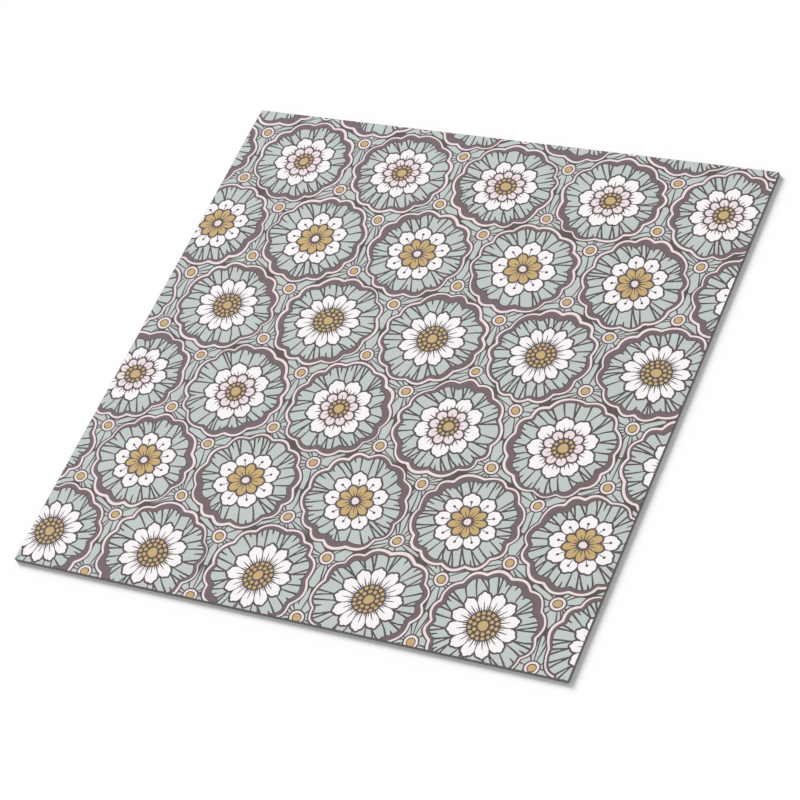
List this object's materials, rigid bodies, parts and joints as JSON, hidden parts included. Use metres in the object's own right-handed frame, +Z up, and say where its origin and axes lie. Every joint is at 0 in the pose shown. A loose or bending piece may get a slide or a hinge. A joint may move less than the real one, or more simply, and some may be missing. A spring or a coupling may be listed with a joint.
{
  "type": "self-adhesive decorative tile",
  "caption": "Thin square sheet of printed vinyl for walls or floors, self-adhesive on its underside, with a peel-off release paper flush with its edges.",
  "frame": {"origin": "middle of the release paper's underside, on the floor that the tile lies on", "axes": "+Z up, out of the printed face, along the thickness; X and Y along the square's edges"},
  "size_m": [0.3, 0.3, 0.0021],
  "materials": {
    "tile": "matt print on vinyl: sage, dusty mauve, pale pink, white and ochre, with grey cut edges",
    "release_liner": "smooth cream release paper"
  },
  "bodies": {
    "root": {"tile": "tile", "release_liner": "release_liner"}
  },
  "joints": []
}
